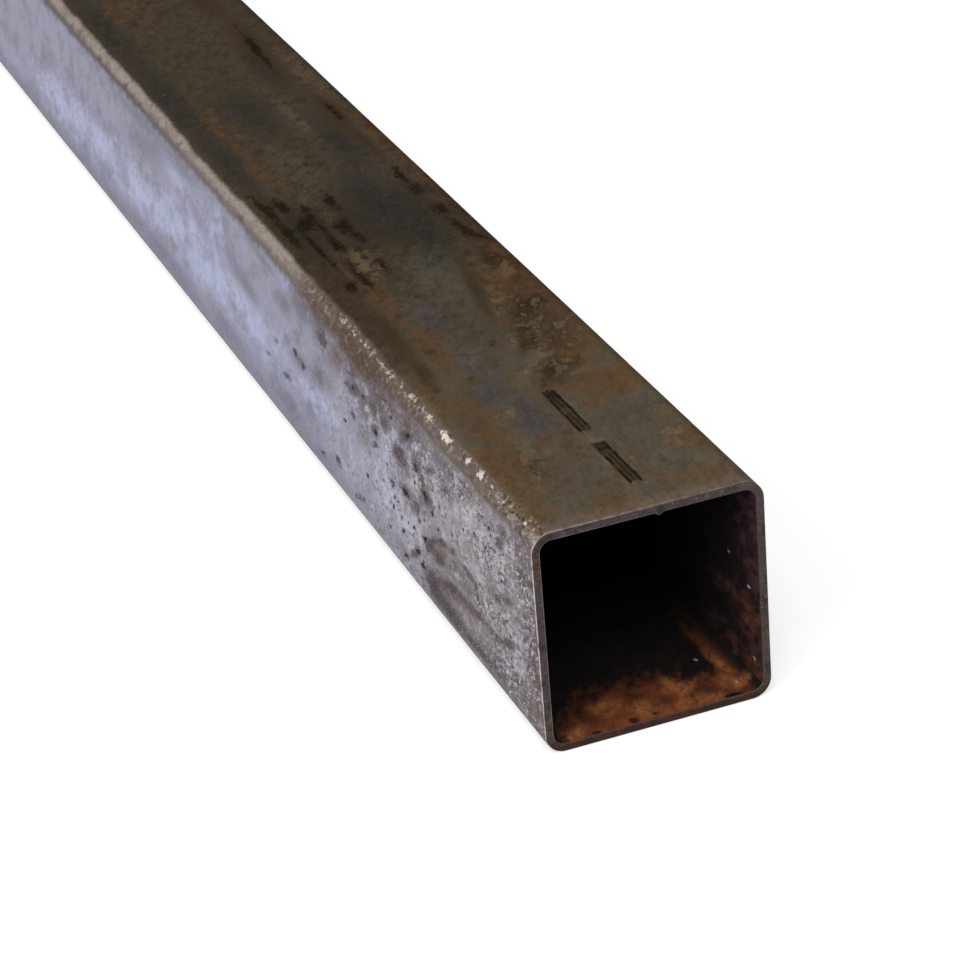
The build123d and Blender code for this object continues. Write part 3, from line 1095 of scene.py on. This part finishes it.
    def settle_skin(self, bm, sizes):
        """Lets the flats fall a little hollow, knocks the bright corner, and sinks the pits."""
        pits = bm.verts.layers.float["large_pits"]
        for vert in bm.verts:
            if not on_skin(vert.co, sizes):
                continue
            place = vert.co / MM
            wave = noise.noise([a / size for a, size in zip(place, HOLLOW_SIZE)])
            knock = noise.noise(place / KNOCK_SIZE)
            turn = abs(vert.co.z - MIDDLE) - abs(vert.co.y)
            on_corner = max(0.0, 1 - abs(turn) / (KNOCK_REACH * MM))
            bright = 1.0 if vert.co.y < 0 and vert.co.z > MIDDLE else DULL_CORNER_KNOCKS
            depth = sizes.hollow * (0.5 + 0.5 * wave)
            depth += sizes.dent_depth * bright * on_corner * max(0.0, knock)
            depth += sizes.pit_depth * min(1.0, max(0.0, PIT_LIP + vert[pits]))
            vert.co += Vector((0, -vert.normal.y, -vert.normal.z)) * depth

    def sort_finishes(self, bm, sizes):
        """Tells the skin, the bore, the sawn faces and the broken edges apart."""
        for face in bm.faces:
            centre = face.calc_center_median()
            if abs(face.normal.x) > 0.98:
                face.material_index = SAWN
            elif HIGH.x - abs(centre.x) < sizes.edge_break:
                face.material_index = BURR
            else:
                face.material_index = SKIN if on_skin(centre, sizes) else BORE


# --- The studio ---

FLOOR_REACH = 12.0
FLOOR_DROP = 0.2 * MM
FLOOR_WHITE = (0.8, 0.8, 0.8, 1)
FLOOR_GLOW = 0.5
WHITE = (1, 1, 1, 1)

# The two lamps: the setting that holds the strength, where the light comes from, how many
# degrees wide it is, and its tint.
LAMPS = (
    ("side_lamp", (0.35, -0.80, 0.50), 40, (0.94, 0.97, 1.0)),
    ("front_lamp", (0.60, -0.20, 0.80), 30, (1.0, 0.98, 0.96)),
)
LAMP_DISTANCE = 3


def seen_share(nodes, links):
    """1 for what is looked at, mirrored or seen through, and 0 for the light that it gives."""
    rays = nodes.new("ShaderNodeLightPath")
    share = rays.outputs["Is Camera Ray"]
    for name in ("Is Glossy Ray", "Is Transmission Ray"):
        largest = nodes.new("ShaderNodeMath")
        largest.operation = "MAXIMUM"
        links.new(share, largest.inputs[0])
        links.new(rays.outputs[name], largest.inputs[1])
        share = largest.outputs["Value"]
    return share


def floor_finish():
    """Matt white that is a little brighter to look at than the light it sends on."""
    finish = Finish("floor_white")
    shader = finish.shader.inputs
    shader["Base Color"].default_value = FLOOR_WHITE
    shader["Roughness"].default_value = 1.0
    shader["Specular IOR Level"].default_value = 0.0
    shader["Emission Color"].default_value = WHITE
    seen = Signal(finish, seen_share(finish.nodes, finish.links))
    finish.feed(shader["Emission Strength"], seen * FLOOR_GLOW)
    return finish.material


class TUBE_OT_studio(bpy.types.Operator):
    """Lays a pale floor under the tube and sets soft lamps and the camera"""

    bl_idname = "tube.studio"
    bl_label = "Studio"
    bl_options = {"REGISTER", "UNDO"}

    def execute(self, context):
        settings = context.scene.studio_settings
        self.make_camera(context, settings)
        self.make_floor(context)
        self.make_world(context.scene, settings)
        self.make_lamps(context, settings)
        context.scene.view_settings.view_transform = "Standard"
        return {"FINISHED"}

    def make_camera(self, context, settings):
        data = bpy.data.cameras.new("camera")
        data.sensor_width = 36
        data.sensor_fit = "HORIZONTAL"
        data.lens = settings.lens
        camera = bpy.data.objects.new("camera", data)
        camera.location = settings.camera_place
        camera.rotation_euler = settings.camera_turn
        context.collection.objects.link(camera)
        context.scene.camera = camera

    def make_floor(self, context):
        bm = bmesh.new()
        flat_face(bm, FLOOR_REACH, Matrix.Translation((0, 0, LOW.z - FLOOR_DROP)))
        floor = link_mesh(context, "floor", bm, [floor_finish()])

    def make_world(self, scene, settings):
        world = bpy.data.worlds.new("studio")
        world.use_nodes = True
        nodes = world.node_tree.nodes
        links = world.node_tree.links
        nodes.clear()
        output = nodes.new("ShaderNodeOutputWorld")
        background = nodes.new("ShaderNodeBackground")
        background.inputs["Color"].default_value = WHITE
        strength = nodes.new("ShaderNodeMapRange")
        strength.inputs["To Min"].default_value = settings.surround
        strength.inputs["To Max"].default_value = 1.0
        links.new(seen_share(nodes, links), strength.inputs["Value"])
        links.new(strength.outputs["Result"], background.inputs["Strength"])
        links.new(background.outputs["Background"], output.inputs["Surface"])
        scene.world = world

    def make_lamps(self, context, settings):
        """Stands the lamps round the tube, each turned to its middle."""
        for name, direction, spread, tint in LAMPS:
            data = bpy.data.lights.new(name, "SUN")
            data.energy = getattr(settings, name)
            data.angle = math.radians(spread)
            data.color = tint
            lamp = bpy.data.objects.new(name, data)
            lamp.location = Vector(direction) * LAMP_DISTANCE
            lamp.rotation_euler = (-lamp.location).to_track_quat("-Z", "Y").to_euler()
            context.collection.objects.link(lamp)


class TUBE_PT_sidebar(bpy.types.Panel):
    """Lists what makes the tube and its studio"""

    bl_idname = "TUBE_PT_sidebar"
    bl_label = "Square Tube"
    bl_space_type = "VIEW_3D"
    bl_region_type = "UI"
    bl_category = "Square Tube"

    def draw(self, context):
        scene = context.scene
        layout = self.layout
        for group in (scene.tube_sizes, scene.tube_colours, scene.studio_settings):
            box = layout.box()
            for name in group.__annotations__:
                box.prop(group, name)
        layout.operator(TUBE_OT_rolled_tube.bl_idname)
        layout.operator(TUBE_OT_studio.bl_idname)


CLASSES = (TubeSizes, TubeColours, StudioSettings, TUBE_OT_rolled_tube, TUBE_OT_studio, TUBE_PT_sidebar)


def register():
    for cls in CLASSES:
        bpy.utils.register_class(cls)
    bpy.types.Scene.tube_sizes = bpy.props.PointerProperty(type=TubeSizes)
    bpy.types.Scene.tube_colours = bpy.props.PointerProperty(type=TubeColours)
    bpy.types.Scene.studio_settings = bpy.props.PointerProperty(type=StudioSettings)


def unregister():
    del bpy.types.Scene.studio_settings
    del bpy.types.Scene.tube_colours
    del bpy.types.Scene.tube_sizes
    for cls in reversed(CLASSES):
        bpy.utils.unregister_class(cls)


def main():
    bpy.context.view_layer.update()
    register()
    bpy.ops.tube.rolled_tube()
    bpy.ops.tube.studio()


if __name__ == "__main__":
    main()
